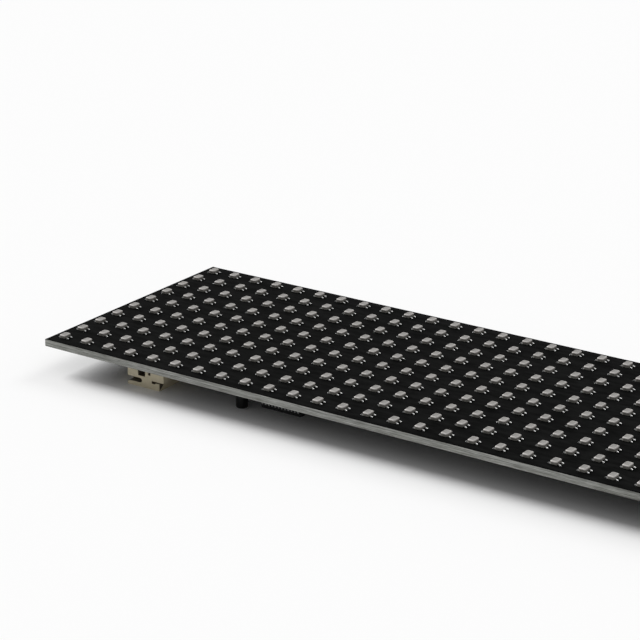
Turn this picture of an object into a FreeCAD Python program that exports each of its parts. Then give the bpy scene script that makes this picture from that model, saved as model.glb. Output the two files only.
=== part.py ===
import FreeCAD, Part

import os
import re

import Sketcher

from FreeCAD import Placement, Rotation, Vector

# A board of surface-mounted lights in a square grid, lying lights up on the four headers of its back.
# Millimetres. +X runs along the board, +Y from the front edge to the rear one, +Z up, away from the
# surface it stands on. The origin is the middle of the board's outline, on that surface.

# Driving dimensions: alias, value, what it is.
SIZES = [
    ("ledColumns", 32, "lights along the board"),
    ("ledRows", 10, "lights across the board"),
    ("ledPitch", 6.0, "centre to centre of neighbouring lights, both ways"),
    ("endMargin", 2.85, "outer lights to the short edges"),
    ("sideMargin", 3.4, "outer lights to the long edges"),
    ("boardThickness", 1.6, "laminate with its mask"),
    ("packageLength", 1.54, "light package along the board, at its foot"),
    ("packageWidth", 2.16, "light package across the board, at its foot"),
    ("packageEndLean", 0.06, "how far each end of the package leans in"),
    ("packageSideLean", 0.08, "how far each side of the package leans in"),
    ("packageHeight", 0.56, "light package above its leads"),
    ("ledLeadSpan", 2.66, "light leads, tip to tip"),
    ("ledLeadSpacing", 1.21, "between the two leads of one side"),
    ("ledLeadWidth", 0.28, "light lead"),
    ("ledLeadThickness", 0.24, "light lead"),
    ("headerWidth", 9.6, "header housing along the board"),
    ("headerHeight", 5.5, "header housing, board to the surface it stands on"),
    ("headerDepth", 7.6, "header housing from its closed back to its mouth"),
    ("headerEndInset", 19.55, "header housing from the short edge of the board"),
    ("headerEdgeInset", 3.9, "header back from the long edge of the board"),
    ("keyWidth", 1.1, "step in the header that keys the plug"),
    ("keyHeight", 1.92, "height of that step"),
    ("headerWall", 0.7, "header wall"),
    ("mouthDepth", 5.2, "how deep the plug goes in"),
    ("slotDepth", 1.9, "slots in the header back"),
    ("latchSlotLength", 3.8, "latch slot from the side of the header"),
    ("latchSlotLow", 0.9, "lower face of the latch slot"),
    ("latchSlotHeight", 1.05, "opening of the latch slot"),
    ("latchLipDrop", 0.22, "how far the slot flares down at the side"),
    ("latchLipLength", 0.9, "length of that flare"),
    ("keySlotStart", 6.45, "inner end of the key slot"),
    ("keySlotPocket", 0.8, "length of its deep part"),
    ("keySlotHeight", 0.6, "opening of its deep part"),
    ("keySlotGap", 0.32, "opening of its narrow part"),
    ("contactPitch", 2.1, "between the two contacts"),
    ("contactSize", 0.5, "square contact wire"),
    ("contactHeight", 3.3, "contact axis above the surface"),
    ("contactSetback", 1.0, "contact tip behind the mouth"),
    ("contactFoot", 1.0, "contact foot on the board, out of the header back"),
    ("windowWidth", 1.9, "window round the first contact"),
    ("windowSill", 2.5, "lower edge of that window"),
    ("slitWidth", 0.6, "slit round the second contact"),
    ("slitSill", 3.02, "lower edge of that slit"),
    ("tabThickness", 0.3, "solder tab of a header"),
    ("tabLength", 2.4, "solder tab along the header"),
    ("tabHeight", 1.6, "solder tab down the side of the header"),
    ("tabFoot", 0.9, "solder tab out over the board"),
    ("tabSetback", 0.8, "solder tab behind the mouth"),
    ("canFromHeader", 17.2, "base of the left can clear of the signal in header"),
    ("driverFromCan", 6.7, "body of the left driver clear of the left can's base"),
    ("driverFromHeader", 3.3, "body of the right driver clear of the signal out header"),
    ("canFromDriver", 3.0, "base of the right can clear of the right driver body"),
    ("driverEdgeInset", 0.45, "driver pin tips from the front edge"),
    ("driverLength", 10.0, "driver body"),
    ("driverWidth", 5.4, "driver body"),
    ("driverHeight", 1.8, "driver body"),
    ("driverSpan", 7.8, "driver pins, tip to tip"),
    ("driverPins", 24, "driver pins"),
    ("driverPinPitch", 0.8, "driver pins"),
    ("driverPinWidth", 0.35, "driver pins"),
    ("switchPins", 8, "row switch pins"),
    ("decoderPins", 16, "row decoder pins"),
    ("bufferPins", 20, "signal buffer pins"),
    ("switchCount", 5, "row switches, each for two rows"),
    ("switchSpacing", 10.0, "between row switches"),
    ("switchLength", 4.9, "row switch body"),
    ("decoderLength", 9.9, "row decoder body"),
    ("narrowWidth", 3.9, "row switch and row decoder bodies"),
    ("narrowHeight", 1.5, "row switch and row decoder bodies"),
    ("narrowSpan", 6.0, "row switch and row decoder pins, tip to tip"),
    ("bufferLength", 12.8, "signal buffer body"),
    ("bufferWidth", 7.5, "signal buffer body"),
    ("bufferHeight", 2.3, "signal buffer body"),
    ("bufferSpan", 10.3, "signal buffer pins, tip to tip"),
    ("coarsePinPitch", 1.27, "pins of the switches, decoder and buffer"),
    ("coarsePinWidth", 0.42, "pins of the switches, decoder and buffer"),
    ("pinThickness", 0.2, "pins of every chip"),
    ("chipStandoff", 0.1, "chip bodies clear of the board"),
    ("chipLean", 0.12, "how far a chip body leans in from its parting line"),
    ("decoderGap", 8.6, "row decoder clear of the row switches"),
    ("bufferFromHeader", 1.2, "signal buffer inwards of the signal in header's side"),
    ("bufferFromMouth", 7.75, "signal buffer body behind that header's mouth"),
    ("canDiameter", 2.6, "capacitor can"),
    ("canHeight", 4.7, "capacitor can below its base"),
    ("canRounding", 0.45, "size of the two bevels that round the end of the can"),
    ("canBevel", 0.14, "where the two bevels meet, in from the can's side and up from its end"),
    ("crimpSize", 0.22, "depth and half height of the crimp round the can"),
    ("crimpHeight", 0.7, "crimp below the base"),
    ("canBaseSide", 2.9, "square capacitor base"),
    ("canBaseHeight", 0.45, "capacitor base"),
    ("canBaseCorner", 0.7, "cut corners of the base"),
    ("canLeadLength", 0.9, "half of a capacitor lead"),
    ("canLeadWidth", 0.6, "capacitor lead"),
    ("canLeadThickness", 0.15, "capacitor lead"),
    ("capacitorEdgeInset", 6.4, "capacitor axis from the front edge"),
    ("ceramicLength", 2.0, "ceramic capacitor"),
    ("ceramicWidth", 1.25, "ceramic capacitor"),
    ("ceramicHeight", 0.8, "ceramic capacitor"),
    ("resistorLength", 1.6, "chip resistor"),
    ("resistorWidth", 0.8, "chip resistor"),
    ("resistorHeight", 0.45, "chip resistor"),
    ("endCapLength", 0.35, "metal end of a chip part"),
    ("chipGap", 1.0, "chip parts from the body that they serve"),
    ("resistorSpacing", 2.5, "between the series resistors of the buffer"),
]

doc = FreeCAD.newDocument("led_dot_matrix")

sheet = doc.addObject("Spreadsheet::Sheet", "sizes")
for line, (alias, number, meaning) in enumerate(SIZES, 1):
    sheet.set("A%d" % line, meaning)
    sheet.set("B%d" % line, str(number))
    sheet.setAlias("B%d" % line, alias)
doc.recompute()


def full(expression):
    # every word in an expression is an alias of the sheet
    return re.sub(r"[A-Za-z]+", lambda word: "sizes." + word.group(), expression)


def size(expression):
    return float(sheet.evalExpression(full(expression)))


def bind(thing, **expressions):
    for name, expression in expressions.items():
        thing.setExpression(name, full(expression))
    return thing


nodes = []


def node(thing, label, place=None):
    thing.Label = label
    if place is not None:
        thing.Placement = place
    nodes.append(thing)
    return thing


# Derived places, all from the sheet.
BOARD_LENGTH = "((ledColumns - 1) * ledPitch + 2 * endMargin)"
BOARD_WIDTH = "((ledRows - 1) * ledPitch + 2 * sideMargin)"
board_under = size("headerHeight")
board_top = size("headerHeight + boardThickness")
left_end = size("-%s / 2" % BOARD_LENGTH)
front_edge = size("-%s / 2" % BOARD_WIDTH)


def spot(x, y, z=0.0, turn=0.0):
    return Placement(Vector(x, y, z), Rotation(Vector(0, 0, 1), turn))


def box(name, length, width, height, corner):
    # a block with its low corner at the given place
    block = doc.addObject("Part::Box", name)
    bind(block, Length=length, Width=width, Height=height)
    for axis, expression in zip("xyz", corner):
        block.setExpression(".Placement.Base." + axis, full(expression))
    return block


def tapered(name, low, high, bottom, top):
    # a block round the Z axis whose two level faces, each (length, width), differ
    wedge = doc.addObject("Part::Wedge", name)
    bind(wedge, Ymin=bottom, Ymax=top,
         Xmin="-%s / 2" % low[0], Xmax="%s / 2" % low[0], Zmin="-%s / 2" % low[1], Zmax="%s / 2" % low[1],
         X2min="-%s / 2" % high[0], X2max="%s / 2" % high[0],
         Z2min="-%s / 2" % high[1], Z2max="%s / 2" % high[1])
    wedge.Placement = Placement(Vector(0, 0, 0), Rotation(Vector(1, 0, 0), 90))
    return wedge


def fuse(name, shapes):
    joined = doc.addObject("Part::MultiFuse", name)
    joined.Shapes = shapes
    joined.Refine = True
    return joined


def group(name, members):
    together = doc.addObject("Part::Compound", name)
    together.Links = members
    return together


def copies(label, form, places):
    # separate copies of one finished form, kept in one node
    repeated = doc.addObject("Part::Feature", label)
    repeated.Shape = Part.makeCompound([form.Shape.transformed(place.toMatrix(), True) for place in places])
    return node(repeated, label)


# Circuit board
def circuit_board():
    corner = ("-%s / 2" % BOARD_LENGTH, "-%s / 2" % BOARD_WIDTH, "headerHeight")
    node(box("board_block", BOARD_LENGTH, BOARD_WIDTH, "boardThickness", corner), "circuit_board")


# Lights: each moulded package sits on two lead strips, and both ends of each strip show
def lights():
    crown = ("(packageLength - 2 * packageEndLean)", "(packageWidth - 2 * packageSideLean)")
    package = tapered("package_form", ("packageLength", "packageWidth"), crown,
                      "ledLeadThickness", "(ledLeadThickness + packageHeight)")
    strips = []
    for side, sign in (("front", "-"), ("rear", "")):
        low_side = "%sledLeadSpacing / 2 - ledLeadWidth / 2" % sign
        strips.append(box("strip_" + side, "ledLeadSpan", "ledLeadWidth", "ledLeadThickness",
                          ("-ledLeadSpan / 2", low_side, "0")))
    strip_pair = group("strip_pair", strips)
    doc.recompute()
    columns = int(size("ledColumns"))
    rows = int(size("ledRows"))
    pitch = size("ledPitch")
    for row in range(rows):
        y = front_edge + size("sideMargin") + row * pitch
        places = [spot(left_end + size("endMargin") + column * pitch, y, board_top) for column in range(columns)]
        copies("led_packages_row_%02d" % (row + 1), package, places)
        copies("led_leads_row_%02d" % (row + 1), strip_pair, places)


# Header sketches lie in the housing's XY plane: X across it, Y up from the surface, Z from mouth to back.
def sketch_on(body, name, level="0"):
    sketch = body.newObject("Sketcher::SketchObject", name)
    plane = [feature for feature in body.Origin.OriginFeatures if feature.Role == "XY_Plane"][0]
    sketch.AttachmentSupport = [(plane, "")]
    sketch.MapMode = "FlatFace"
    sketch.setExpression(".AttachmentOffset.Base.z", full(level))
    return sketch


def dimension(sketch, kind, first, expression):
    index = sketch.addConstraint(Sketcher.Constraint(kind, *first, size(expression)))
    sketch.setExpression("Constraints[%d]" % index, full(expression))


def fix_point(sketch, geometry, point, corner):
    # ties a point to the sketch origin, or to an axis that it lies on
    for kind, axis, expression in (("DistanceX", -2, corner[0]), ("DistanceY", -1, corner[1])):
        if expression == "0":
            sketch.addConstraint(Sketcher.Constraint("PointOnObject", geometry, point, axis))
        else:
            dimension(sketch, kind, (-1, 1, geometry, point), expression)


def polygon(sketch, corners):
    points = [Vector(size(x), size(y), 0) for x, y in corners]
    first = sketch.GeometryCount
    for start, end in zip(points, points[1:] + points[:1]):
        sketch.addGeometry(Part.LineSegment(start, end), False)
    for index, corner in enumerate(corners):
        following = first + (index + 1) % len(corners)
        sketch.addConstraint(Sketcher.Constraint("Coincident", first + index, 2, following, 1))
        fix_point(sketch, first + index, 1, corner)


def circle(sketch, centre, radius):
    middle = Vector(size(centre[0]), size(centre[1]), 0)
    round_edge = sketch.addGeometry(Part.Circle(middle, Vector(0, 0, 1), size(radius)), False)
    fix_point(sketch, round_edge, 3, centre)
    dimension(sketch, "Radius", (round_edge,), radius)


def rectangle(left, low, right, high):
    return [(left, low), (right, low), (right, high), (left, high)]


def pocket(body, sketch, depth, away=False):
    cut = body.newObject("PartDesign::Pocket", sketch.Name + "_cut")
    cut.Profile = sketch
    cut.setExpression("Length", full(depth))
    cut.Reversed = away
    sketch.Visibility = False


CONTACTS = (("first", "(headerWidth / 2 - contactPitch / 2)", "windowWidth", "windowSill"),
            ("second", "(headerWidth / 2 + contactPitch / 2)", "slitWidth", "slitSill"))
KEY_SIDE = "(headerWidth - keyWidth)"
LATCH_ROUND = "(latchSlotHeight / 2)"
LATCH_END = "(latchSlotLength - latchSlotHeight / 2)"
KEY_SLOT_END = "(keySlotStart + keySlotPocket)"


def housing(label):
    body = doc.addObject("PartDesign::Body", label)
    outline = sketch_on(body, label + "_outline")
    polygon(outline, [("0", "0"), (KEY_SIDE, "0"), (KEY_SIDE, "keyHeight"), ("headerWidth", "keyHeight"),
                      ("headerWidth", "headerHeight"), ("0", "headerHeight")])
    block = body.newObject("PartDesign::Pad", label + "_block")
    block.Profile = outline
    block.setExpression("Length", full("headerDepth"))
    outline.Visibility = False

    # the mouth follows the outline one wall inside it, step and all
    mouth = sketch_on(body, label + "_mouth")
    right = "headerWidth - headerWall"
    low_right = KEY_SIDE + " - headerWall"
    high = "headerHeight - headerWall"
    polygon(mouth, [("headerWall", "headerWall"), (low_right, "headerWall"), (low_right, "keyHeight + headerWall"),
                    (right, "keyHeight + headerWall"), (right, high), ("headerWall", high)])
    pocket(body, mouth, "mouthDepth", True)

    # latch slot in from one side of the back, flared at its lip and round at its inner end
    latch = sketch_on(body, label + "_latch", "headerDepth")
    polygon(latch, [("0", "latchSlotLow - latchLipDrop"), ("latchLipLength", "latchSlotLow"),
                    (LATCH_END, "latchSlotLow"), (LATCH_END, "latchSlotLow + latchSlotHeight"),
                    ("0", "latchSlotLow + latchSlotHeight")])
    pocket(body, latch, "slotDepth")
    latch_end = sketch_on(body, label + "_latch_end", "headerDepth")
    circle(latch_end, (LATCH_END, "latchSlotLow + " + LATCH_ROUND), LATCH_ROUND)
    pocket(body, latch_end, "slotDepth")

    # key slot in from the other side, deep inside and narrow where it meets the step
    key = sketch_on(body, label + "_key", "headerDepth")
    polygon(key, [("keySlotStart", "keyHeight - keySlotHeight"), (KEY_SLOT_END, "keyHeight - keySlotHeight"),
                  (KEY_SLOT_END + " + keySlotHeight - keySlotGap", "keyHeight - keySlotGap"),
                  (KEY_SIDE, "keyHeight - keySlotGap"), (KEY_SIDE, "keyHeight"), ("keySlotStart", "keyHeight")])
    pocket(body, key, "slotDepth")

    # each contact rises to the board in an opening of the back and passes through the wall behind it
    risers = sketch_on(body, label + "_risers", "headerDepth")
    passages = sketch_on(body, label + "_passages", "mouthDepth")
    for _, centre, width, sill in CONTACTS:
        polygon(risers, rectangle("%s - %s / 2" % (centre, width), sill,
                                  "%s + %s / 2" % (centre, width), "headerHeight"))
        polygon(passages, rectangle(centre + " - contactSize / 2", "contactHeight - contactSize / 2",
                                    centre + " + contactSize / 2", "contactHeight + contactSize / 2"))
    pocket(body, risers, "slotDepth")
    pocket(body, passages, "headerDepth - mouthDepth - slotDepth", True)
    return body


def contact(name, centre):
    # a square wire: along the mouth, up to the board in the back, then out as a solder foot
    left = centre + " - contactSize / 2"
    low = "contactHeight - contactSize / 2"
    riser = "headerDepth - slotDepth"
    pin = box(name + "_pin", "contactSize", "contactSize", riser + " - contactSetback + contactSize",
              (left, low, "contactSetback"))
    rise = box(name + "_rise", "contactSize", "headerHeight - contactHeight + contactSize / 2", "contactSize",
               (left, low, riser))
    foot = box(name + "_foot", "contactSize", "contactSize / 2", "slotDepth + contactFoot",
               (left, "headerHeight - contactSize / 2", riser))
    return fuse(name, [pin, rise, foot])


def solder_tab(name, plate_side, foot_side):
    # a plate down one side of the housing, with a foot out over the board
    plate = box(name + "_plate", "tabThickness", "tabHeight", "tabLength",
                (plate_side, "headerHeight - tabHeight", "tabSetback"))
    foot = box(name + "_foot", "tabFoot", "tabThickness", "tabLength",
               (foot_side, "headerHeight - tabThickness", "tabSetback"))
    return fuse(name, [plate, foot])


# Headers: closed backs towards the long edges, mouths towards the middle of the board
def headers():
    middle_x = -left_end - size("headerEndInset + headerWidth / 2")
    upright = Rotation(Vector(1, 0, 0), 90)
    for name, end, edge in (("signal_in", -1, -1), ("signal_out", 1, -1), ("power_in", -1, 1), ("power_out", 1, 1)):
        spin = Rotation(Vector(0, 0, 1), 0 if edge < 0 else 180)
        corner = spin.multVec(Vector(-size("headerWidth") / 2, 0, 0))
        place = Placement(Vector(end * middle_x, edge * header_mouth, 0) + corner, spin * upright)
        contacts = [contact(name + "_" + order, centre) for order, centre, _, _ in CONTACTS]
        tabs = [solder_tab(name + "_left_tab", "-tabThickness", "-tabFoot"),
                solder_tab(name + "_right_tab", "headerWidth", "headerWidth")]
        node(housing(name + "_shell"), name + "_housing", place)
        node(group(name + "_contact_pair", contacts), name + "_contacts", place)
        node(group(name + "_tab_pair", tabs), name + "_solder_tabs", place)


# Chips: a body with its parting line half way up, on pins that lean out to their feet on the board.
# Their own Z is up as on the board, so from the underside of the board they reach down from zero.
def chip_forms(name, length, width, height, span, pin_width):
    parting = "(-chipStandoff - %s / 2)" % height
    face = ("(%s - 2 * chipLean)" % length, "(%s - 2 * chipLean)" % width)
    upper = tapered(name + "_upper", (length, width), face, parting, "(-chipStandoff)")
    lower = tapered(name + "_lower", face, (length, width), "(-chipStandoff - %s)" % height, parting)
    body = fuse(name + "_form", [upper, lower])
    pin = doc.addObject("Part::Wedge", name + "_pin")
    pin.Ymax = 0
    bind(pin, Ymin=parting + " - pinThickness / 2",
         Xmin="-%s / 2" % pin_width, Xmax="%s / 2" % pin_width,
         X2min="-%s / 2" % pin_width, X2max="%s / 2" % pin_width,
         Zmin="%s / 2" % width, Zmax="%s / 2 + 2 * pinThickness" % width,
         Z2min="%s / 2 - 3 * pinThickness" % span, Z2max="%s / 2" % span)
    pin.Placement = Placement(Vector(0, 0, 0), Rotation(Vector(1, 0, 0), 90))
    doc.recompute()
    return body, pin


def pin_ring(count, pitch, place):
    # the places of a chip's pins, half of them along each long side
    per_side = count // 2
    steps = [spot((index - (per_side - 1) / 2) * pitch, 0) for index in range(per_side)]
    return [place.multiply(turn).multiply(step) for turn in (spot(0, 0), spot(0, 0, 0, 180)) for step in steps]


# Where things stand on the back: along it they are kept clear of the header of their own end.
header_inner_side = -left_end - size("headerEndInset + headerWidth")
header_mouth = -front_edge - size("headerEdgeInset + headerDepth")
left_can_x = -header_inner_side + size("canFromHeader + canBaseSide / 2")
left_driver_x = left_can_x + size("canBaseSide / 2 + driverFromCan + driverLength / 2")
right_driver_x = header_inner_side - size("driverFromHeader + driverLength / 2")
right_can_x = right_driver_x - size("driverLength / 2 + canFromDriver + canBaseSide / 2")
driver_y = front_edge + size("driverEdgeInset + driverSpan / 2")
decoder_x = -size("switchLength / 2 + decoderGap + decoderLength / 2")
buffer_x = -header_inner_side + size("bufferFromHeader + bufferLength / 2")
buffer_y = -header_mouth + size("bufferFromMouth + bufferSpan / 2")
switch_count = int(size("switchCount"))
switch_rows = [(index - (switch_count - 1) / 2) * size("switchSpacing") for index in range(switch_count)]


def chips():
    coarse = size("coarsePinPitch")
    body, pin = chip_forms("driver", "driverLength", "driverWidth", "driverHeight", "driverSpan", "driverPinWidth")
    for side, x in (("left", left_driver_x), ("right", right_driver_x)):
        place = spot(x, driver_y, board_under)
        copies(side + "_driver_body", body, [place])
        copies(side + "_driver_pins", pin, pin_ring(int(size("driverPins")), size("driverPinPitch"), place))

    body, pin = chip_forms("switch", "switchLength", "narrowWidth", "narrowHeight", "narrowSpan", "coarsePinWidth")
    ring = []
    for number, y in enumerate(switch_rows, 1):
        place = spot(0, y, board_under)
        copies("row_switch_%d_body" % number, body, [place])
        ring += pin_ring(int(size("switchPins")), coarse, place)
    copies("row_switch_pins", pin, ring)

    place = spot(decoder_x, 0, board_under)
    body, pin = chip_forms("decoder", "decoderLength", "narrowWidth", "narrowHeight", "narrowSpan", "coarsePinWidth")
    copies("row_decoder_body", body, [place])
    copies("row_decoder_pins", pin, pin_ring(int(size("decoderPins")), coarse, place))

    place = spot(buffer_x, buffer_y, board_under)
    body, pin = chip_forms("buffer", "bufferLength", "bufferWidth", "bufferHeight", "bufferSpan", "coarsePinWidth")
    copies("signal_buffer_body", body, [place])
    copies("signal_buffer_pins", pin, pin_ring(int(size("bufferPins")), coarse, place))


def can_form(reach):
    # half section of the drawn can, turned round its axis; reach is how far its end lies under the board
    body = doc.addObject("PartDesign::Body", "can_form")
    section = body.newObject("Sketcher::SketchObject", "can_section")
    plane = [feature for feature in body.Origin.OriginFeatures if feature.Role == "XZ_Plane"][0]
    section.AttachmentSupport = [(plane, "")]
    section.MapMode = "FlatFace"
    top = "-%s + canHeight" % reach
    polygon(section, [("0", "-%s" % reach), ("canDiameter / 2 - canRounding", "-%s" % reach),
                      ("canDiameter / 2 - canBevel", "-%s + canBevel" % reach),
                      ("canDiameter / 2", "-%s + canRounding" % reach),
                      ("canDiameter / 2", top + " - crimpHeight - crimpSize"),
                      ("canDiameter / 2 - crimpSize", top + " - crimpHeight"),
                      ("canDiameter / 2", top + " - crimpHeight + crimpSize"),
                      ("canDiameter / 2", top), ("0", top)])
    turned = body.newObject("PartDesign::Revolution", "turned_can")
    turned.Profile = section
    turned.ReferenceAxis = (section, ["V_Axis"])
    turned.Angle = 360
    return body


# Can capacitors: leads flat on the board, a moulded base on them, and the can hanging from the base
def capacitors():
    top = "(-canLeadThickness)"
    under = "(-canLeadThickness - canBaseHeight)"
    base = tapered("base_form", ("canBaseSide", "canBaseSide"), ("canBaseSide", "canBaseSide"), under, top)
    doc.recompute()
    cut = doc.addObject("Part::Chamfer", "base_cut")
    cut.Base = base
    upright_edges = [index for index, edge in enumerate(base.Shape.Edges, 1)
                     if abs(edge.BoundBox.ZLength - size("canBaseHeight")) < 1e-6 and edge.BoundBox.XMin > 0]
    cut.Edges = [(index, size("canBaseCorner"), size("canBaseCorner")) for index in upright_edges]

    can = can_form("(-%s + canHeight)" % under)
    leads = []
    middle = "(canBaseSide / 2 - canLeadLength / 2)"
    for side, sign in (("left", "-"), ("right", "")):
        leads.append(box("can_lead_" + side, "canLeadLength * 2", "canLeadWidth", "canLeadThickness",
                         (sign + middle + " - canLeadLength", "-canLeadWidth / 2", top)))
    lead_pair = group("can_lead_pair", leads)
    doc.recompute()
    places = [spot(x, front_edge + size("capacitorEdgeInset"), board_under) for x in (left_can_x, right_can_x)]
    for side, place in zip(("left", "right"), places):
        copies(side + "_capacitor_can", can, [place])
        copies(side + "_capacitor_base", cut, [place])
    copies("capacitor_leads", lead_pair, places)


# Chip capacitors and resistors: a ceramic body between two metal ends
def chip_part(name, length, width, height, places):
    middle = "(%s - 2 * endCapLength)" % length
    body = box(name + "_middle", middle, width, height,
               ("-%s / 2" % middle, "-%s / 2" % width, "-%s" % height))
    ends = [box(name + "_end_" + side, "endCapLength", width, height,
                (start, "-%s / 2" % width, "-%s" % height))
            for side, start in (("left", "-%s / 2" % length), ("right", "%s / 2 - endCapLength" % length))]
    pair = group(name + "_end_pair", ends)
    doc.recompute()
    copies(name + "_bodies", body, places)
    copies(name + "_ends", pair, places)


def beside(x, y, side, length, part_width):
    # a chip part stands across the board, one gap off the left (-1) or the right (1) end of a chip body
    return spot(x + side * size("%s / 2 + chipGap + %s / 2" % (length, part_width)), y, board_under, 90)


def chip_parts():
    drivers = (left_driver_x, right_driver_x)
    decoupling = [beside(x, driver_y, 1, "driverLength", "ceramicWidth") for x in drivers]
    decoupling += [beside(0, y, 1, "switchLength", "ceramicWidth") for y in switch_rows]
    decoupling.append(beside(decoder_x, 0, 1, "decoderLength", "ceramicWidth"))
    decoupling.append(beside(buffer_x, buffer_y, 1, "bufferLength", "ceramicWidth"))
    chip_part("chip_capacitor", "ceramicLength", "ceramicWidth", "ceramicHeight", decoupling)

    # each driver's current setting resistor, and the buffer's series resistors next to its capacitor
    resistors = [beside(x, driver_y, -1, "driverLength", "resistorWidth") for x in drivers]
    past_capacitor = buffer_x + size("ceramicWidth + chipGap")
    for step in (-1, 0, 1):
        y = buffer_y + step * size("resistorSpacing")
        resistors.append(beside(past_capacitor, y, 1, "bufferLength", "resistorWidth"))
    chip_part("chip_resistor", "resistorLength", "resistorWidth", "resistorHeight", resistors)


circuit_board()
lights()
headers()
chips()
capacitors()
chip_parts()
doc.recompute()

broken = [thing.Name for thing in doc.Objects if {"Invalid", "Error"} & set(thing.State)]
if broken:
    raise SystemExit("failed: " + ", ".join(broken))
for piece in nodes:
    if piece.Shape.isNull() or not piece.Shape.isValid():
        raise SystemExit("bad shape: " + piece.Label)

os.makedirs("parts", exist_ok=True)
for piece in nodes:
    piece.Shape.exportStep("parts/%s.step" % piece.Label)
print("%d pieces in %d nodes" % (sum(len(piece.Shape.Solids) for piece in nodes), len(nodes)))
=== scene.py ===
import math
import random

import bpy
from mathutils import Euler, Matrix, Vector


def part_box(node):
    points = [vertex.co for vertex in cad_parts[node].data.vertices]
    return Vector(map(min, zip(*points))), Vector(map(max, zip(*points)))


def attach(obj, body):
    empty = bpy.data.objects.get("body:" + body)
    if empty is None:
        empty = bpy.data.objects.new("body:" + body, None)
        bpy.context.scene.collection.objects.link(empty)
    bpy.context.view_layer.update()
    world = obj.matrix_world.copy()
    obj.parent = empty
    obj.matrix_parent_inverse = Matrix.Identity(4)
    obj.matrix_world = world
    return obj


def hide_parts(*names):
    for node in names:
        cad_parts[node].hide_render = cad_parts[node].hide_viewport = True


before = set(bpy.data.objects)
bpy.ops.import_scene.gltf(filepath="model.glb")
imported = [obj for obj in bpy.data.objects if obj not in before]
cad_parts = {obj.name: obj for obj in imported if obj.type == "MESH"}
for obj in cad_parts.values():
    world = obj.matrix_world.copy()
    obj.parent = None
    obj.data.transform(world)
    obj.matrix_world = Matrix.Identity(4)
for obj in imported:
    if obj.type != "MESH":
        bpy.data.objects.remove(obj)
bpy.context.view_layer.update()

# A black board of small square lights, lying lights up on the four headers of its back.
# Shapes are worked out in millimetres from the frame and turned into metres when a mesh is made.
mm = 0.001
draw = random.Random(41)


def nodeBox(node):
    low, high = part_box(node)
    return low / mm, high / mm


def solidBoxes(node):
    # the box of every separate solid of a frame node, from left to right
    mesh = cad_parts[node].data
    leader = {}

    def find(corner):
        while leader[corner] != corner:
            corner = leader[corner]
        return corner

    corners = [tuple(round(value / mm, 3) for value in vertex.co) for vertex in mesh.vertices]
    for corner in corners:
        leader[corner] = corner
    for polygon in mesh.polygons:
        first = find(corners[polygon.vertices[0]])
        for index in polygon.vertices[1:]:
            leader[find(corners[index])] = first
    solids = {}
    for corner in leader:
        solids.setdefault(find(corner), []).append(corner)
    boxes = [(Vector(map(min, zip(*points))), Vector(map(max, zip(*points)))) for points in solids.values()]
    return sorted(boxes, key=lambda box: (round(box[0].x, 2), round(box[0].y, 2)))


def middleOf(low, high):
    return (low.x + high.x) / 2, (low.y + high.y) / 2


def nearestBox(boxes, x, y):
    # the box whose middle is nearest to a point of the board
    def distance(box):
        middle = middleOf(*box)
        return abs(middle[0] - x) + abs(middle[1] - y)

    return min(boxes, key=distance)


boardLow, boardHigh = nodeBox("circuit_board")
boardBack = boardLow.z
boardFace = boardHigh.z
print("frame: board %.1f x %.1f x %.1f mm" % tuple(boardHigh - boardLow))


# Node trees

def newSurface(name, colour, roughness, metallic=0.0, specular=0.5, coat=0.0):
    material = bpy.data.materials.new(name)
    material.use_nodes = True
    shader = material.node_tree.nodes["Principled BSDF"]
    shader.inputs["Base Color"].default_value = (*colour, 1.0)
    shader.inputs["Roughness"].default_value = roughness
    shader.inputs["Metallic"].default_value = metallic
    shader.inputs["Specular IOR Level"].default_value = specular
    shader.inputs["Coat Weight"].default_value = coat
    return material


def place(material, kind, **values):
    made = material.node_tree.nodes.new(kind)
    for name, value in values.items():
        setattr(made, name, value)
    return made


def link(material, start, end):
    material.node_tree.links.new(start, end)


def grain(material, perMm, stretch=(1, 1, 1), detail=3.0, rough=0.55, shift=(0, 0, 0)):
    # noise fixed to the object, perMm blotches to the millimetre, pulled along the axes by stretch
    where = place(material, "ShaderNodeTexCoord")
    turn = place(material, "ShaderNodeMapping")
    turn.inputs["Location"].default_value = shift
    turn.inputs["Scale"].default_value = [perMm / mm / pull for pull in stretch]
    noise = place(material, "ShaderNodeTexNoise")
    noise.inputs["Scale"].default_value = 1.0
    noise.inputs["Detail"].default_value = detail
    noise.inputs["Roughness"].default_value = rough
    link(material, where.outputs["Object"], turn.inputs["Vector"])
    link(material, turn.outputs["Vector"], noise.inputs["Vector"])
    return noise.outputs["Fac"]


def tones(material, fac, stops):
    # stops: (position, colour)
    ramp = place(material, "ShaderNodeValToRGB")
    band = ramp.color_ramp
    while len(band.elements) < len(stops):
        band.elements.new(0.5)
    for element, (position, colour) in zip(band.elements, stops):
        element.position = position
        element.color = (*colour, 1.0)
    link(material, fac, ramp.inputs["Fac"])
    return ramp.outputs["Color"]


def multiplyTones(material, first, second):
    mix = place(material, "ShaderNodeMix", data_type="RGBA", blend_type="MULTIPLY")
    mix.inputs["Factor"].default_value = 1.0
    link(material, first, mix.inputs["A"])
    link(material, second, mix.inputs["B"])
    return mix.outputs["Result"]


def paint(material, colour):
    link(material, colour, material.node_tree.nodes["Principled BSDF"].inputs["Base Color"])


def vary(material, fac, low, high):
    # roughness wanders between low and high, as the noise does between 0.3 and 0.7
    spread = place(material, "ShaderNodeMapRange")
    spread.inputs["From Min"].default_value = 0.3
    spread.inputs["From Max"].default_value = 0.7
    spread.inputs["To Min"].default_value = low
    spread.inputs["To Max"].default_value = high
    link(material, fac, spread.inputs["Value"])
    link(material, spread.outputs["Result"], material.node_tree.nodes["Principled BSDF"].inputs["Roughness"])


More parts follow.
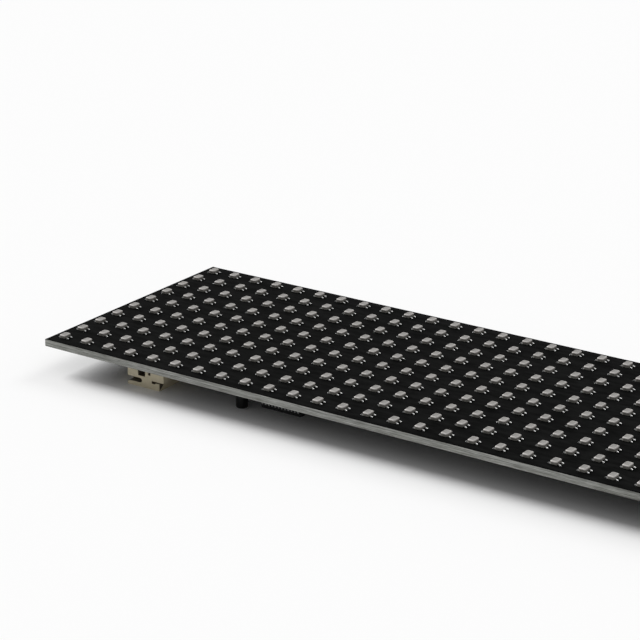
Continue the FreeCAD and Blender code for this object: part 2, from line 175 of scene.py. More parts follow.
def roughen(material, height, depth, strength):
    # depth in millimetres
    bump = place(material, "ShaderNodeBump")
    bump.inputs["Strength"].default_value = strength
    bump.inputs["Distance"].default_value = depth * mm
    link(material, height, bump.inputs["Height"])
    link(material, bump.outputs["Normal"], material.node_tree.nodes["Principled BSDF"].inputs["Normal"])


# Finishes

def blackMask():
    # matt black mask with faint drag marks over finer specks
    mask = newSurface("blackMask", (0.006, 0.0061, 0.006), 0.70, specular=0.005)
    streaks = grain(mask, 0.75, stretch=(4, 1, 1), detail=5, rough=0.65)
    blotches = grain(mask, 0.06, stretch=(2, 1, 1), detail=3, shift=(3, 7, 0))
    streaked = tones(mask, streaks, [(0.36, (0.0032, 0.0033, 0.0032)), (0.50, (0.0062, 0.0063, 0.0062)),
                                     (0.64, (0.0090, 0.0092, 0.0090))])
    blotched = tones(mask, blotches, [(0.35, (0.75, 0.75, 0.75)), (0.65, (1.0, 1.0, 1.0))])
    paint(mask, multiplyTones(mask, streaked, blotched))
    vary(mask, blotches, 0.64, 0.74)
    roughen(mask, grain(mask, 2.2, stretch=(2.5, 1, 1), detail=2), 0.02, 0.5)
    return mask


def laminate():
    # pale glass cloth in resin, cut across: fine plies along the edge, with broken strands
    cut = newSurface("laminate", (0.34, 0.34, 0.31), 0.6, specular=0.2)
    plies = grain(cut, 1.0, stretch=(30, 30, 0.22), detail=3, rough=0.6)
    strands = grain(cut, 1.6, stretch=(5, 5, 0.4), detail=4, rough=0.7, shift=(5, 2, 9))
    clouds = grain(cut, 0.10, stretch=(2, 2, 1), detail=2, shift=(1, 1, 4))
    layered = tones(cut, plies, [(0.34, (0.205, 0.209, 0.20)), (0.50, (0.40, 0.406, 0.388)),
                                 (0.66, (0.60, 0.608, 0.585))])
    stranded = tones(cut, strands, [(0.36, (0.50, 0.50, 0.48)), (0.62, (1.0, 1.0, 1.0))])
    clouded = tones(cut, clouds, [(0.35, (0.86, 0.86, 0.84)), (0.65, (1.0, 1.0, 1.0))])
    paint(cut, multiplyTones(cut, multiplyTones(cut, layered, stranded), clouded))
    roughen(cut, strands, 0.03, 0.7)
    return cut


def moulded(name, dark, light, roughness, perMm=3.0, depth=0.006, specular=0.4):
    # moulded plastic with a slight mottle and a fine skin
    plastic = newSurface(name, light, roughness, specular=specular)
    mottle = grain(plastic, 0.35, detail=3, shift=(2, 4, 6))
    paint(plastic, tones(plastic, mottle, [(0.32, dark), (0.68, light)]))
    vary(plastic, mottle, roughness - 0.05, roughness + 0.06)
    roughen(plastic, grain(plastic, perMm, detail=2), depth, 0.6)
    return plastic


def metal(name, dark, light, roughness):
    # tinned metal with duller clouds and a fine grain
    tin = newSurface(name, light, roughness, metallic=1.0)
    dull = grain(tin, 1.2, detail=3, shift=(9, 1, 3))
    paint(tin, tones(tin, dull, [(0.35, dark), (0.65, light)]))
    vary(tin, dull, roughness - 0.06, roughness + 0.08)
    roughen(tin, grain(tin, 3.6, detail=2), 0.01, 0.5)
    return tin


def glossyShell():
    # lacquered sleeve, nearly black, that mirrors the floor along its sides
    shell = newSurface("canShell", (0.005, 0.005, 0.005), 0.12, specular=0.2, coat=0.2)
    haze = grain(shell, 0.8, stretch=(1, 1, 3), detail=3)
    paint(shell, tones(shell, haze, [(0.35, (0.003, 0.003, 0.003)), (0.65, (0.008, 0.008, 0.008))]))
    vary(shell, haze, 0.09, 0.17)
    return shell


finishes = {
    "mask": blackMask(),
    # painted shade: a darker band of mask along the board's edges
    "border": moulded("maskBorder", (0.0010, 0.0010, 0.0010), (0.0024, 0.0024, 0.0024), 0.70, specular=0.005),
    "laminate": laminate(),
    # painted light: the walls, bevel and top edge of the lights get a paler grey than the top ring, so they read
    # as bright as the lit top
    "package": moulded("lightPackage", (0.61, 0.585, 0.56), (0.69, 0.66, 0.633), 0.50, specular=0.2),
    "rim": moulded("lightRim", (0.43, 0.412, 0.395), (0.48, 0.46, 0.44), 0.50, specular=0.1),
    "lens": moulded("lightFill", (0.25, 0.243, 0.232), (0.29, 0.28, 0.268), 0.40, depth=0.003, specular=0.1),
    # painted shade: a darker grey for the lights' lower walls and the bends of their feet, which sit in shade
    "shade": moulded("lightUnderside", (0.24, 0.23, 0.21), (0.30, 0.29, 0.265), 0.60, specular=0.1),
    # painted shade: a darker copy of the tin for the chip pins and their solder, which sit in shade under the
    # board
    "darkTin": metal("chipPins", (0.16, 0.16, 0.16), (0.24, 0.24, 0.24), 0.42),
    "tin": metal("tinnedLead", (0.33, 0.33, 0.325), (0.43, 0.43, 0.425), 0.34),
    "solder": metal("solder", (0.46, 0.46, 0.455), (0.58, 0.58, 0.575), 0.34),
    "nylon": moulded("headerNylon", (0.57, 0.51, 0.365), (0.66, 0.595, 0.435), 0.46, specular=0.3),
    # painted shade: dark nylon for the walls inside the header slots
    "slotNylon": moulded("slotNylon", (0.10, 0.085, 0.06), (0.14, 0.12, 0.085), 0.60, specular=0.1),
    "epoxy": moulded("chipMould", (0.0035, 0.0035, 0.0036), (0.0065, 0.0065, 0.0066), 0.66, perMm=8.0, depth=0.012,
                     specular=0.03),
    "shell": glossyShell(),
    "base": moulded("canBase", (0.009, 0.009, 0.009), (0.014, 0.014, 0.014), 0.5, specular=0.15),
    "tanCeramic": moulded("tanCeramic", (0.29, 0.20, 0.125), (0.36, 0.26, 0.17), 0.38, perMm=6.0),
    "blackCeramic": moulded("blackCeramic", (0.012, 0.012, 0.012), (0.020, 0.020, 0.020), 0.30),
}
print("finishes: %d" % len(finishes))


# Mesh helpers: a form is a list of points and a list of (face, finish number)

class Form:
    def __init__(self):
        self.points = []
        self.faces = []

    def add(self, points, faces, finish=0, shift=(0, 0, 0)):
        start = len(self.points)
        self.points += [(x + shift[0], y + shift[1], z + shift[2]) for x, y, z in points]
        self.faces += [(tuple(start + index for index in face), finish) for face in faces]

    def addForm(self, other, shift=(0, 0, 0), turn=0.0, flip=False):
        # flip turns the form upside down, for the back of the board
        start = len(self.points)
        cos, sin = math.cos(turn), math.sin(turn)
        side = -1 if flip else 1
        self.points += [(x * cos - y * side * sin + shift[0], x * sin + y * side * cos + shift[1],
                         z * side + shift[2]) for x, y, z in other.points]
        self.faces += [(tuple(start + index for index in face), finish) for face, finish in other.faces]


def loft(rings, highCap=True):
    # joins rings that all have the same number of points, from the low one up, and closes the low end
    points = [point for ring in rings for point in ring]
    count = len(rings[0])
    faces = []
    for level in range(len(rings) - 1):
        low, high = level * count, (level + 1) * count
        for step in range(count):
            after = (step + 1) % count
            faces.append((low + step, low + after, high + after, high + step))
    faces.append(tuple(reversed(range(count))))
    if highCap:
        faces.append(tuple(range(len(points) - count, len(points))))
    return points, faces


def roundedRing(halfX, halfY, corner, z, steps=3, middle=(0, 0)):
    ring = []
    for quarter, (signX, signY) in enumerate(((1, 1), (-1, 1), (-1, -1), (1, -1))):
        for step in range(steps + 1):
            angle = (quarter + step / steps) * math.pi / 2
            ring.append((middle[0] + signX * (halfX - corner) + corner * math.cos(angle),
                         middle[1] + signY * (halfY - corner) + corner * math.sin(angle), z))
    return ring


def sweptStrip(line, width, thickness):
    # a flat strip along a line of (y, z) points, width across X
    rings = []
    for index, (y, z) in enumerate(line):
        before = line[max(index - 1, 0)]
        after = line[min(index + 1, len(line) - 1)]
        alongY, alongZ = after[0] - before[0], after[1] - before[1]
        length = math.hypot(alongY, alongZ)
        offY, offZ = -alongZ / length * thickness / 2, alongY / length * thickness / 2
        rings.append([(width / 2, y - offY, z - offZ), (-width / 2, y - offY, z - offZ),
                      (-width / 2, y + offY, z + offZ), (width / 2, y + offY, z + offZ)])
    return loft(rings)


solderShape = {
    "around": 10,
    "roundness": 0.7,         # 1 is an ellipse, and less is nearer to a rectangle
    "profile": ((1.0, 0.0), (0.93, 0.38), (0.74, 0.74), (0.42, 0.95)),   # shares of the half sizes and the height
}


def solderDome(halfX, halfY, height, middle=(0, 0)):
    # a convex heap of solder on a rounded pad
    around = solderShape["around"]
    power = solderShape["roundness"]
    rings = []
    for share, lift in solderShape["profile"]:
        ring = []
        for step in range(around):
            angle = 2 * math.pi * step / around
            cos, sin = math.cos(angle), math.sin(angle)
            ring.append((middle[0] + halfX * share * math.copysign(abs(cos) ** power, cos),
                         middle[1] + halfY * share * math.copysign(abs(sin) ** power, sin), height * lift))
        rings.append(ring)
    points, faces = loft(rings, highCap=False)
    top = len(points)
    last = top - around
    points.append((middle[0], middle[1], height))
    faces += [(last + step, last + (step + 1) % around, top) for step in range(around)]
    return points, faces


def makePiece(name, form, finishNames, nodes=(), smooth=0.0):
    # smooth: the largest angle, in degrees, between faces that are shaded as one
    mesh = bpy.data.meshes.new(name)
    mesh.from_pydata([Vector(point) * mm for point in form.points], [], [face for face, _ in form.faces])
    for finishName in finishNames:
        mesh.materials.append(finishes[finishName])
    mesh.polygons.foreach_set("material_index", [finish for _, finish in form.faces])
    piece = bpy.data.objects.new(name, mesh)
    bpy.context.scene.collection.objects.link(piece)
    if smooth:
        mesh.polygons.foreach_set("use_smooth", [True] * len(mesh.polygons))
        mesh.set_sharp_from_angle(angle=math.radians(smooth))
    mesh.validate()
    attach(piece, "root")
    if nodes:
        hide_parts(*nodes)


def addHeap(form, halfX, halfY, height, x, y):
    # a heap of solder on the back of the board
    heap = Form()
    heap.add(*solderDome(halfX, halfY, height))
    form.addForm(heap, (x, y, boardBack), flip=True)


brokenEdge = {
    "weld": 0.0005,           # joins corners of the frame's mesh that are nearer than this
    "segments": 2,
    "fromAngle": 30.0,        # degrees; flatter edges stay as they are
}


def softenEdges(node, finishName, edge):
    # a frame node that keeps its shape gets its finish and broken edges
    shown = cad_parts[node]
    shown.data.materials.clear()
    shown.data.materials.append(finishes[finishName])
    weld = shown.modifiers.new("weld", "WELD")
    weld.merge_threshold = brokenEdge["weld"] * mm
    bevel = shown.modifiers.new("brokenEdges", "BEVEL")
    bevel.width = edge * mm
    bevel.segments = brokenEdge["segments"]
    bevel.limit_method = "ANGLE"
    bevel.angle_limit = math.radians(brokenEdge["fromAngle"])
    bevel.use_clamp_overlap = True


# Circuit board

board = {
    "maskThickness": 0.055,
    "maskStandBack": 0.03,    # mask ends this far inside the cut edge
    "border": 0.5,            # mask along the edges that is painted darker, as painted shade
    "step": 0.8,              # between the points of the cut edge
    "plies": 7,
    "plyDepth": 0.03,         # how uneven the plies were cut
    "plyDrift": 0.7,          # how much of it carries on from point to point
}


def circuitBoard():
    halfX = (boardHigh.x - boardLow.x) / 2
    halfY = (boardHigh.y - boardLow.y) / 2
    across = round(2 * halfX / board["step"])
    along = round(2 * halfY / board["step"])
    path = [(-halfX + 2 * halfX * step / across, -halfY, 0, 1) for step in range(across)]
    path += [(halfX, -halfY + 2 * halfY * step / along, -1, 0) for step in range(along)]
    path += [(halfX - 2 * halfX * step / across, halfY, 0, -1) for step in range(across)]
    path += [(-halfX, halfY - 2 * halfY * step / along, 1, 0) for step in range(along)]

    # levels from the back up: height, how far inside the outline, and how uneven there
    low = boardBack + board["maskThickness"]
    high = boardFace - board["maskThickness"]
    standBack = board["maskStandBack"]
    plies = board["plies"]
    levels = [(boardBack, standBack * 2, 0), (low, standBack, 0)]
    levels += [(low + (high - low) * ply / plies, 0.0, board["plyDepth"]) for ply in range(plies + 1)]
    levels += [(high, standBack, 0), (boardFace, standBack * 2, 0), (boardFace, board["border"], 0)]
    drift = board["plyDrift"]
    rings = []
    for z, inset, uneven in levels:
        wander = 0.0
        ring = []
        for x, y, inX, inY in path:
            wander = drift * wander + (1 - drift) * draw.random() * uneven
            depth = inset + wander
            ring.append((x + inX * depth, y + inY * depth, z))
        rings.append(ring)
    points, faces = loft(rings)
    count = len(path)
    form = Form()
    form.points = points
    # finish 0 is the mask, 1 the cut laminate, 2 the mask's border with painted shade; the last two faces close
    # the back and the top
    bands = [0] + [1] * (len(levels) - 4) + [0, 2, 0]
    form.faces = [(face, bands[index // count]) for index, face in enumerate(faces)]
    makePiece("circuitBoard", form, ("mask", "laminate", "border"), ["circuit_board"])


circuitBoard()
print("board: mask on both faces of a cut laminate")


# Lights

light = {
    "footX": 0.69, "footY": 0.98,         # half sizes where the body meets the board
    "waistX": 0.765, "waistY": 1.06,      # at its parting line
    "topX": 0.665, "topY": 0.95,          # inside the bevel
    "fillX": 0.53, "fillY": 0.78,         # of the clear fill
    "corner": 0.33,
    "footCorner": 0.8, "topCorner": 0.8, "fillCorner": 0.7,   # shares of that corner
    "standOff": 0.05,         # of the body over the board
    "footHeight": 0.04, "footFlare": 0.04,
    "waistHeight": 0.68,
    "waistHalf": 0.01,        # of the flat band at the parting line
    "skirt": 0.14,            # of the band below the parting line that is painted pale, as painted light
    "skirtDraft": 0.02,
    "edge": 0.02,
    "cupDepth": 0.04, "cupDraft": 0.03,
    "offPlace": 0.03,         # how far a light may sit off its place
    "offTurn": 1.2,           # and how far turned, in degrees
}


def lightBody(height):
    corner = light["corner"]
    footCorner, topCorner, fillCorner = (corner * light[part + "Corner"] for part in ("foot", "top", "fill"))
    footX, footY, flare = light["footX"], light["footY"], light["footFlare"]
    waistX, waistY, draft = light["waistX"], light["waistY"], light["skirtDraft"]
    topX, topY, edge = light["topX"], light["topY"], light["edge"]
    fillX, fillY, cup = light["fillX"], light["fillY"], light["cupDraft"]
    foot, waist, half = light["standOff"], light["waistHeight"], light["waistHalf"]
    package, rim, fill, shade = range(4)
    # rings from the board up: half sizes, corner, height and the finish of the band above
    # the skirt, waist, bevel and top edge carry the paler package grey as painted light, over the rim grey of the
    # top ring
    levels = [
        (footX, footY, footCorner, foot, rim),
        # the lower walls, from here up to the skirt, carry the painted shade
        (footX + flare, footY + flare, footCorner, foot + light["footHeight"], shade),
        (waistX - draft, waistY - draft, corner, waist - light["skirt"], package),
        (waistX, waistY, corner, waist - half, package),
        (waistX, waistY, corner, waist + half, package),
        (topX, topY, topCorner, height - edge, package),
        (topX - edge, topY - edge, topCorner, height, rim),
        (fillX, fillY, fillCorner, height, rim),
        (fillX - cup, fillY - cup, fillCorner, height - light["cupDepth"], fill),
    ]
    rings = [roundedRing(halfX, halfY, bend, z, steps=4) for halfX, halfY, bend, z, _ in levels]
    form = Form()
    form.points, faces = loft(rings)
    bands = [level[-1] for level in levels[:-1] for _ in rings[0]] + [shade, fill]    # and the two ends
    form.faces = list(zip(faces, bands))
    return form


lead = {
    "inside": 0.06,           # from the parting line back to the root, where the lead's run starts
    "rise": 0.25,             # of the root over the board
    "thickness": 0.10,
    "bend": ((-0.08, 0.0), (0.06, 0.0), (0.12, 0.02), (0.26, 0.08)),     # out from the root, and down from it
    "toe": (0.24, 0.07),
    "tipLength": 0.03, "tipRise": 0.03,
    "bendWidth": 0.82, "toeWidth": 0.86,                                 # shares of the frame's width
    "solderFrom": 0.10,       # out from the root
    "solderShift": 0.02,
    "solderInset": 0.02,
    "solderHeight": 0.03,
    "padWidth": 0.30,
}


def lightFeet(tip, spacing, width):
    # four feet bent down out of the body, each soldered to its own pad; the bends carry the painted shade, so only
    # the toes and their solder are bright
    root = light["waistX"] - lead["inside"]
    rise, thick, inset = lead["rise"], lead["thickness"], lead["solderInset"]
    bend = [(root + out, rise - down) for out, down in lead["bend"]]
    toe = [(root + lead["toe"][0], rise - lead["toe"][1]),
           (tip - lead["tipLength"], thick / 2 + lead["tipRise"]), (tip, thick / 2)]
    middle = (root + lead["solderFrom"] + tip) / 2 + lead["solderShift"]
    dome = solderDome(lead["padWidth"] / 2 - inset, (tip - root) / 2 - inset, lead["solderHeight"], (0, middle))
    tin, solder, shade = range(3)
    # the pair runs along +Y here, and is turned to either end of the light
    pair, feet = Form(), Form()
    for side in (-1, 1):
        shift = (side * spacing / 2, 0, 0)
        pair.add(*sweptStrip(toe, width * lead["toeWidth"], thick), tin, shift)
        pair.add(*sweptStrip(bend, width * lead["bendWidth"], thick), shade, shift)
        pair.add(*dome, solder, shift)
    for turn in (-math.pi / 2, math.pi / 2):
        feet.addForm(pair, turn=turn)
    return feet


def lights():
    rows = sorted(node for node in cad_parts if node.startswith("led_packages_row_"))
    off, offTurn = light["offPlace"], light["offTurn"]
    for number, node in enumerate(rows, 1):
        leadNode = node.replace("packages", "leads")
        packages = solidBoxes(node)
        leads = solidBoxes(leadNode)
        leadSize = leads[0][1] - leads[0][0]
        body = lightBody(packages[0][1].z - boardFace)
        feet = lightFeet(leadSize.x / 2, abs(leads[1][0].y - leads[0][0].y), leadSize.y)
        bodies, feetOfRow = Form(), Form()
        for package in packages:
            x, y = middleOf(*package)
            shift = (x + draw.uniform(-off, off), y + draw.uniform(-off, off), boardFace)
            turn = math.radians(draw.uniform(-offTurn, offTurn))
            bodies.addForm(body, shift, turn)
            feetOfRow.addForm(feet, shift, turn)
        makePiece("lightBodiesRow%02d" % number, bodies, ("package", "rim", "lens", "shade"),
                  [node], smooth=26)
        makePiece("lightFeetRow%02d" % number, feetOfRow, ("tin", "solder", "shade"),
                  [leadNode], smooth=60)
    print("lights: %d rows of %d" % (len(rows), len(packages)))


lights()


# Headers: the frame's housings, contacts and tabs with broken edges, and their solder

header = {
    "housingEdge": 0.07,
    "contactEdge": 0.05,
    "tabEdge": 0.05,
    "solderHeight": 0.22,
    "contactSolder": (0.14, 0.08),        # how far it stands out past half a contact, across and along
    "contactSolderShift": 0.04,
    "tabSolder": (0.10, 0.12),            # the same for a tab
    "tabSolderShift": 0.12,
    "slotDepth": 1.95,        # how far the slots reach in from the closed back
    "skin": 0.06,             # faces further than this inside the outline belong to a slot
}


def shadeSlots(node):
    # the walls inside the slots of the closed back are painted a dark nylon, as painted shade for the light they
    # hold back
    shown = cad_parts[node]
    low, high = nodeBox(node)
    back, inwards = (low.y, 1) if low.y < 0 else (high.y, -1)
    shown.data.materials.append(finishes["slotNylon"])
    skin = header["skin"]
    for polygon in shown.data.polygons:
        corners = [shown.data.vertices[index].co / mm for index in polygon.vertices]
        x, y, z = sum(corners, Vector()) / len(corners)
        depth = max((corner.y - back) * inwards for corner in corners)
        inside = low.x + skin < x < high.x - skin and low.z + skin < z
        if inside and skin < (y - back) * inwards and depth < header["slotDepth"]:
            polygon.material_index = 1


def headers():
    solder = Form()
    for name in ("signal_in", "signal_out", "power_in", "power_out"):
        softenEdges(name + "_housing", "nylon", header["housingEdge"])
        shadeSlots(name + "_housing")
        softenEdges(name + "_contacts", "tin", header["contactEdge"])
        softenEdges(name + "_solder_tabs", "tin", header["tabEdge"])
        housingLow, housingHigh = nodeBox(name + "_housing")
        front = housingLow.y < 0
        backY, outwards = (housingLow.y, -1) if front else (housingHigh.y, 1)
        wide, deep = header["contactSolder"]
        for low, high in solidBoxes(name + "_contacts"):
            reach = abs((low.y if front else high.y) - backY)
            addHeap(solder, (high.x - low.x) / 2 + wide, reach / 2 + deep, header["solderHeight"],
                    (low.x + high.x) / 2, backY + outwards * (reach / 2 + header["contactSolderShift"]))
        wide, deep = header["tabSolder"]
        for low, high in solidBoxes(name + "_solder_tabs"):
            inner, outer = (housingLow.x, low.x) if low.x < housingLow.x else (housingHigh.x, high.x)
            addHeap(solder, abs(outer - inner) / 2 + wide, (high.y - low.y) / 2 + deep, header["solderHeight"],
                    (inner + outer) / 2 + math.copysign(header["tabSolderShift"], outer - inner),
                    (low.y + high.y) / 2)
    makePiece("headerSolder", solder, ("solder",), smooth=60)


headers()
print("headers: four, soldered")


# Chips

chip = {
    "corner": 0.08,
    "edge": 0.07,
    "lean": 0.12,             # how far the sides lean in from the parting line
    "waistHalf": 0.02,        # of the flat band there
    "dimple": 0.42,           # radius of the dimple at the first pin
    "dimpleFloor": 0.86,      # share of that radius
    "dimpleInset": 1.05,
    "dimpleDepth": 0.05,
    "dimpleAround": 16,
}
chipBodies = sorted(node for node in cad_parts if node.endswith("_body"))


def chipShell(name, node):
    # hangs from the back of the board; Z runs down from it here and is turned over in addForm
    low, high = nodeBox(node)
    halfX, halfY = (high.x - low.x) / 2, (high.y - low.y) / 2
    lift, height = boardBack - high.z, boardBack - low.z
    waist, half = (lift + height) / 2, chip["waistHalf"]
    corner, edge, lean = chip["corner"], chip["edge"], chip["lean"]
    rings = [
        roundedRing(halfX - lean - edge, halfY - lean - edge, corner, lift),
        roundedRing(halfX - lean, halfY - lean, corner, lift + edge),
        roundedRing(halfX, halfY, corner, waist - half),
        roundedRing(halfX, halfY, corner, waist + half),
        roundedRing(halfX - lean, halfY - lean, corner, height - edge),
        roundedRing(halfX - lean - edge, halfY - lean - edge, corner, height),
    ]
    form = Form()
    form.add(*loft(rings, highCap=False))
    # the flat top is joined to the rim of the dimple
    start = len(form.points)
    around = chip["dimpleAround"]
    centreX = -(halfX - lean - chip["dimpleInset"])
    centreY = -(halfY - lean - chip["dimpleInset"])
    radius = chip["dimple"]
    for size, z in ((radius, height), (radius * chip["dimpleFloor"], height - chip["dimpleDepth"])):
        for step in range(around):
            angle = 2 * math.pi * step / around
            form.points.append((centreX + size * math.cos(angle), centreY + size * math.sin(angle), z))
    outer = range(start - len(rings[0]), start)
    inner = range(start, start + around)
    form.faces += [(face, 0) for face in bridge(form.points, outer, inner, (centreX, centreY))]
    for step in range(around):
        after = (step + 1) % around
        form.faces.append(((start + step, start + after, start + around + after, start + around + step), 0))
    form.faces.append((tuple(range(start + around, start + 2 * around)), 0))
    whole = Form()
    whole.addForm(form, (*middleOf(low, high), boardBack), flip=True)
    makePiece(name, whole, ("epoxy",), [node], smooth=20)


def bridge(points, outer, inner, centre):
    # joins two loops round a centre by walking both of them by angle
    def angleOf(index):
        return math.atan2(points[index][1] - centre[1], points[index][0] - centre[0]) % (2 * math.pi)

    outer = sorted(outer, key=angleOf)
    inner = sorted(inner, key=angleOf)
    faces = []
    done = 3 * math.pi        # more than any angle
    outerAt = innerAt = 0
    while outerAt < len(outer) or innerAt < len(inner):
        nextOuter = angleOf(outer[outerAt]) if outerAt < len(outer) else done
        nextInner = angleOf(inner[innerAt]) if innerAt < len(inner) else done
        if nextOuter <= nextInner:
            faces.append((outer[outerAt - 1], outer[outerAt % len(outer)], inner[innerAt - 1]))
            outerAt += 1
        else:
            faces.append((outer[outerAt - 1], inner[innerAt % len(inner)], inner[innerAt - 1]))
            innerAt += 1
    return faces


pin = {
    "inside": 0.05,           # how far the pin starts inside the body
    "width": 0.9,             # share of the frame's pin
    "thickness": 0.15,
    "level": 0.14,            # run straight out of the body
    "round": 0.10,
    "shoulder": 0.5, "heel": 0.9,         # height of the two bends, as shares of that round
    "footLength": 0.62,
    "footTilt": 0.01,
    "toe": 0.02,
    "solderBeyond": 0.05,     # how far the solder stands out past half a foot
    "solderHeight": 0.16,
}


def chipPins(name, node, bodies):
    # gull wing pins: out of the waist of the body, down to the board and along it
    thick, level, turn, foot = pin["thickness"], pin["level"], pin["round"], pin["footLength"]
    shoulder, heel = turn * pin["shoulder"], turn * pin["heel"]
    form, heaps = Form(), Form()
    for low, high in solidBoxes(node):
        x, y = middleOf(low, high)
        bodyLow, bodyHigh = nearestBox([nodeBox(body) for body in bodies], x, y)
        rear = y > (bodyLow.y + bodyHigh.y) / 2
        root, tip = (bodyHigh.y - pin["inside"], high.y) if rear else (bodyLow.y + pin["inside"], low.y)
        reach = abs(tip - root)
        waist = boardBack - (bodyLow.z + bodyHigh.z) / 2
        width = (high.x - low.x) * pin["width"]
        line = [(0, waist), (level, waist), (level + turn, waist - shoulder),
                (reach - foot - turn, thick / 2 + heel), (reach - foot, thick / 2 + pin["footTilt"]),
                (reach - pin["toe"], thick / 2), (reach, thick / 2)]
        wing, heap = Form(), Form()
        wing.add(*sweptStrip(line, width, thick))
        heap.add(*solderDome(width / 2 + pin["solderBeyond"], foot / 2 + pin["solderBeyond"], pin["solderHeight"],
                             (0, reach - foot / 2)))
        # flip mirrors Y too, so a pin that points to +Y is turned half round
        angle = math.pi if rear else 0.0
        form.addForm(wing, (x, root, boardBack), turn=angle, flip=True)
        heaps.addForm(heap, (x, root, boardBack), turn=angle, flip=True)
    # the pins and their solder get the darker tin, as painted shade
    makePiece(name, form, ("darkTin",), [node], smooth=30)
    makePiece(name + "Solder", heaps, ("darkTin",), smooth=60)


def camel(node):
    words = node.split("_")
    return words[0] + "".join(word.capitalize() for word in words[1:])


def chips():
    for node in chipBodies:
        chipShell(camel(node), node)
    for node in sorted(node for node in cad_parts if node.endswith("_pins")):
        stem = node[:-len("_pins")]
        chipPins(camel(node), node, [body for body in chipBodies if body.startswith(stem)])


chips()
print("chips: %d bodies" % len(chipBodies))


# Can capacitors

can = {
    "around": 32,
    "recess": (0.55, 0.62),   # radius of its floor and of its rim, as shares of the can's
    "recessDepth": 0.05,
    "endRound": 0.42, "endSteps": 5,
    "crimpDepth": 0.16, "crimpSteps": 8,
    "crimpFromBase": 0.7,
    "crimpHalfHeight": 0.24,
    "rimRound": 0.12,
    "baseEdge": 0.06,
    "leadEdge": 0.03,
}


def canShape(low, high):
    # turned from the rounded end, which hangs lowest, up past the crimp to the base
    radius, endRound, rim = (high.x - low.x) / 2, can["endRound"], can["rimRound"]
    floorShare, rimShare = can["recess"]
    profile = [(radius * floorShare, low.z + can["recessDepth"]), (radius * rimShare, low.z)]
    for step in range(can["endSteps"] + 1):
        angle = math.pi / 2 * step / can["endSteps"]
        profile.append((radius - endRound + endRound * math.sin(angle),
                        low.z + endRound - endRound * math.cos(angle)))
    crimp = high.z - can["crimpFromBase"]
    for step in range(can["crimpSteps"] + 1):
        angle = math.pi * step / can["crimpSteps"]
        profile.append((radius - can["crimpDepth"] * math.sin(angle) ** 2,
                        crimp - can["crimpHalfHeight"] * math.cos(angle)))
    profile += [(radius, high.z - rim), (radius - rim, high.z)]
    x, y = middleOf(low, high)
    angles = [2 * math.pi * step / can["around"] for step in range(can["around"])]
    return loft([[(x + size * math.cos(angle), y + size * math.sin(angle), z) for angle in angles]
                 for size, z in profile])


def cans():
    for node in ("left_capacitor_can", "right_capacitor_can"):
        form = Form()
        form.add(*canShape(*nodeBox(node)))
        makePiece(camel(node), form, ("shell",), [node], smooth=40)
        softenEdges(node.replace("_can", "_base"), "base", can["baseEdge"])
    softenEdges("capacitor_leads", "tin", can["leadEdge"])


cans()
print("capacitor cans: 2")


# Chip capacitors and resistors

ceramic = {
    "bodyEdge": 0.06,
    "endEdge": 0.09,
    "roundAt": 0.3,           # where the middle of a rounded edge lies, as a share of the edge
    "endProud": 0.02,         # of the ends past the body
    "filletLength": 0.34,
    "filletHeight": 0.8,      # share of the part's height
    "filletBeyond": 0.08,
    "filletInset": 0.06,
}


def roundedBlock(low, high, edge, proud=0.0):
    halfX, halfY = (high.x - low.x) / 2 + proud, (high.y - low.y) / 2 + proud
    middle = middleOf(low, high)
    less = edge * ceramic["roundAt"]
    rings = [
        roundedRing(halfX - edge, halfY - edge, edge, low.z, middle=middle),
        roundedRing(halfX - less, halfY - less, edge, low.z + less, middle=middle),
        roundedRing(halfX, halfY, edge, low.z + edge, middle=middle),
        roundedRing(halfX, halfY, edge, high.z, middle=middle),
    ]
    return loft(rings)


def chipParts():
    for kind, finish, slot in (("chip_capacitor", "tanCeramic", "tan_ceramic"),
                               ("chip_resistor", "blackCeramic", "black_ceramic")):
        bodies, ends, fillets = Form(), Form(), Form()
        bodyBoxes = solidBoxes(kind + "_bodies")
        for low, high in bodyBoxes:
            bodies.add(*roundedBlock(low, high, ceramic["bodyEdge"]))
        for low, high in solidBoxes(kind + "_ends"):
            ends.add(*roundedBlock(low, high, ceramic["endEdge"], ceramic["endProud"]))
            x, y = middleOf(low, high)
            rear = y > middleOf(*nearestBox(bodyBoxes, x, y))[1]
            outerY = high.y - ceramic["filletInset"] if rear else low.y + ceramic["filletInset"]
            addHeap(fillets, (high.x - low.x) / 2 + ceramic["filletBeyond"], ceramic["filletLength"],
                    (high.z - low.z) * ceramic["filletHeight"], x, outerY)
        makePiece(camel(kind + "_bodies"), bodies, (finish,), [kind + "_bodies"], smooth=35)
        makePiece(camel(kind + "_ends"), ends, ("tin",), [kind + "_ends"], smooth=35)
        makePiece(camel(kind + "_solder"), fillets, ("solder",), smooth=60)


chipParts()
print("chip parts: capacitors and resistors")


# Floor, light and camera

studio = {
    "white": 0.966,
    "keyStrength": 3.50,
    "keyAzimuth": 170.0,       # degrees from +X, the side that the key light comes from
    "keyElevation": 32.0,
    "keyAngle": 28.0,          # how wide the key light is
    "rearStrength": 0.42,
    "rearAzimuth": 84.0,
    "rearElevation": 38.0,
    "rearAngle": 24.0,
    "fill": 0.34,
    "floorSize": 6.0,          # metres, as all lengths here but the sensor's
    "cameraPlace": (0.20334, -0.37057, 0.17287),
    "cameraTurn": (70.2845, -0.3945, 33.9438),
    "pixelFocus": 2215.95,
    "pictureWidth": 640,
    "sensor": 36.0,
    "nearest": 0.01,           # the camera sees from here
    "farthest": 20.0,          # to here
}


def floor():
    half = studio["floorSize"] / 2
    mesh = bpy.data.meshes.new("floor")
    mesh.from_pydata([(-half, -half, 0), (half, -half, 0), (half, half, 0), (-half, half, 0)], [], [(0, 1, 2, 3)])
    ground = bpy.data.objects.new("floor", mesh)
    bpy.context.scene.collection.objects.link(ground)
    white = studio["white"]
    paper = newSurface("paleFloor", (white, white, white), 0.9, specular=0.0)
    mesh.materials.append(paper)


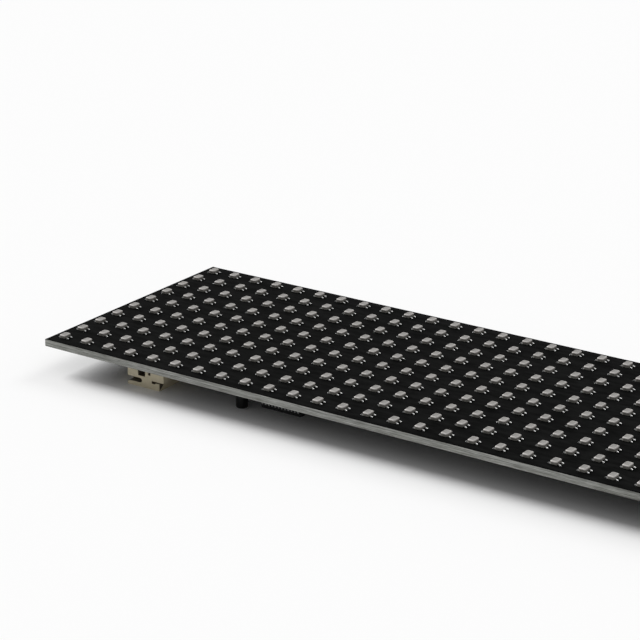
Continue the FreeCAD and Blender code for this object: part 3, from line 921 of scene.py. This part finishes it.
def surroundings():
    # plain white to the camera, to gloss and through glass, and a weaker fill for all other light
    world = bpy.data.worlds.new("studio")
    bpy.context.scene.world = world
    world.use_nodes = True
    tree = world.node_tree
    tree.nodes.clear()
    ray = tree.nodes.new("ShaderNodeLightPath")
    seen = tree.nodes.new("ShaderNodeMath")
    seen.operation = "MAXIMUM"
    clear = tree.nodes.new("ShaderNodeMath")
    clear.operation = "MAXIMUM"
    fill, white = (tree.nodes.new("ShaderNodeBackground") for _ in range(2))
    for sky, strength in ((fill, studio["fill"]), (white, studio["white"])):
        sky.inputs["Color"].default_value = (1, 1, 1, 1)
        sky.inputs["Strength"].default_value = strength
    mix = tree.nodes.new("ShaderNodeMixShader")
    out = tree.nodes.new("ShaderNodeOutputWorld")
    tree.links.new(ray.outputs["Is Camera Ray"], seen.inputs[0])
    tree.links.new(ray.outputs["Is Glossy Ray"], seen.inputs[1])
    tree.links.new(seen.outputs[0], clear.inputs[0])
    tree.links.new(ray.outputs["Is Transmission Ray"], clear.inputs[1])
    tree.links.new(clear.outputs[0], mix.inputs["Fac"])
    tree.links.new(fill.outputs[0], mix.inputs[1])
    tree.links.new(white.outputs[0], mix.inputs[2])
    tree.links.new(mix.outputs[0], out.inputs["Surface"])


def sunLamp(name):
    # a far, wide lamp from its own dictionary entries
    lamp = bpy.data.lights.new(name, "SUN")
    lamp.energy = studio[name + "Strength"]
    lamp.angle = math.radians(studio[name + "Angle"])
    hung = bpy.data.objects.new(name + "Light", lamp)
    azimuth, elevation = math.radians(studio[name + "Azimuth"]), math.radians(studio[name + "Elevation"])
    level = math.cos(elevation)
    towards = Vector((math.cos(azimuth) * level, math.sin(azimuth) * level, math.sin(elevation)))
    hung.rotation_mode = "QUATERNION"
    hung.rotation_quaternion = towards.to_track_quat("Z", "Y")
    bpy.context.scene.collection.objects.link(hung)


def camera():
    lens = bpy.data.cameras.new("camera")
    lens.sensor_width = studio["sensor"]
    lens.lens = studio["pixelFocus"] / studio["pictureWidth"] * studio["sensor"]
    lens.clip_start = studio["nearest"]
    lens.clip_end = studio["farthest"]
    eye = bpy.data.objects.new("camera", lens)
    eye.location = studio["cameraPlace"]
    eye.rotation_euler = Euler([math.radians(angle) for angle in studio["cameraTurn"]])
    bpy.context.scene.collection.objects.link(eye)
    bpy.context.scene.camera = eye


floor()
surroundings()
sunLamp("key")
sunLamp("rear")
camera()
bpy.context.scene.view_settings.view_transform = "Standard"
print("studio: floor, light and camera")
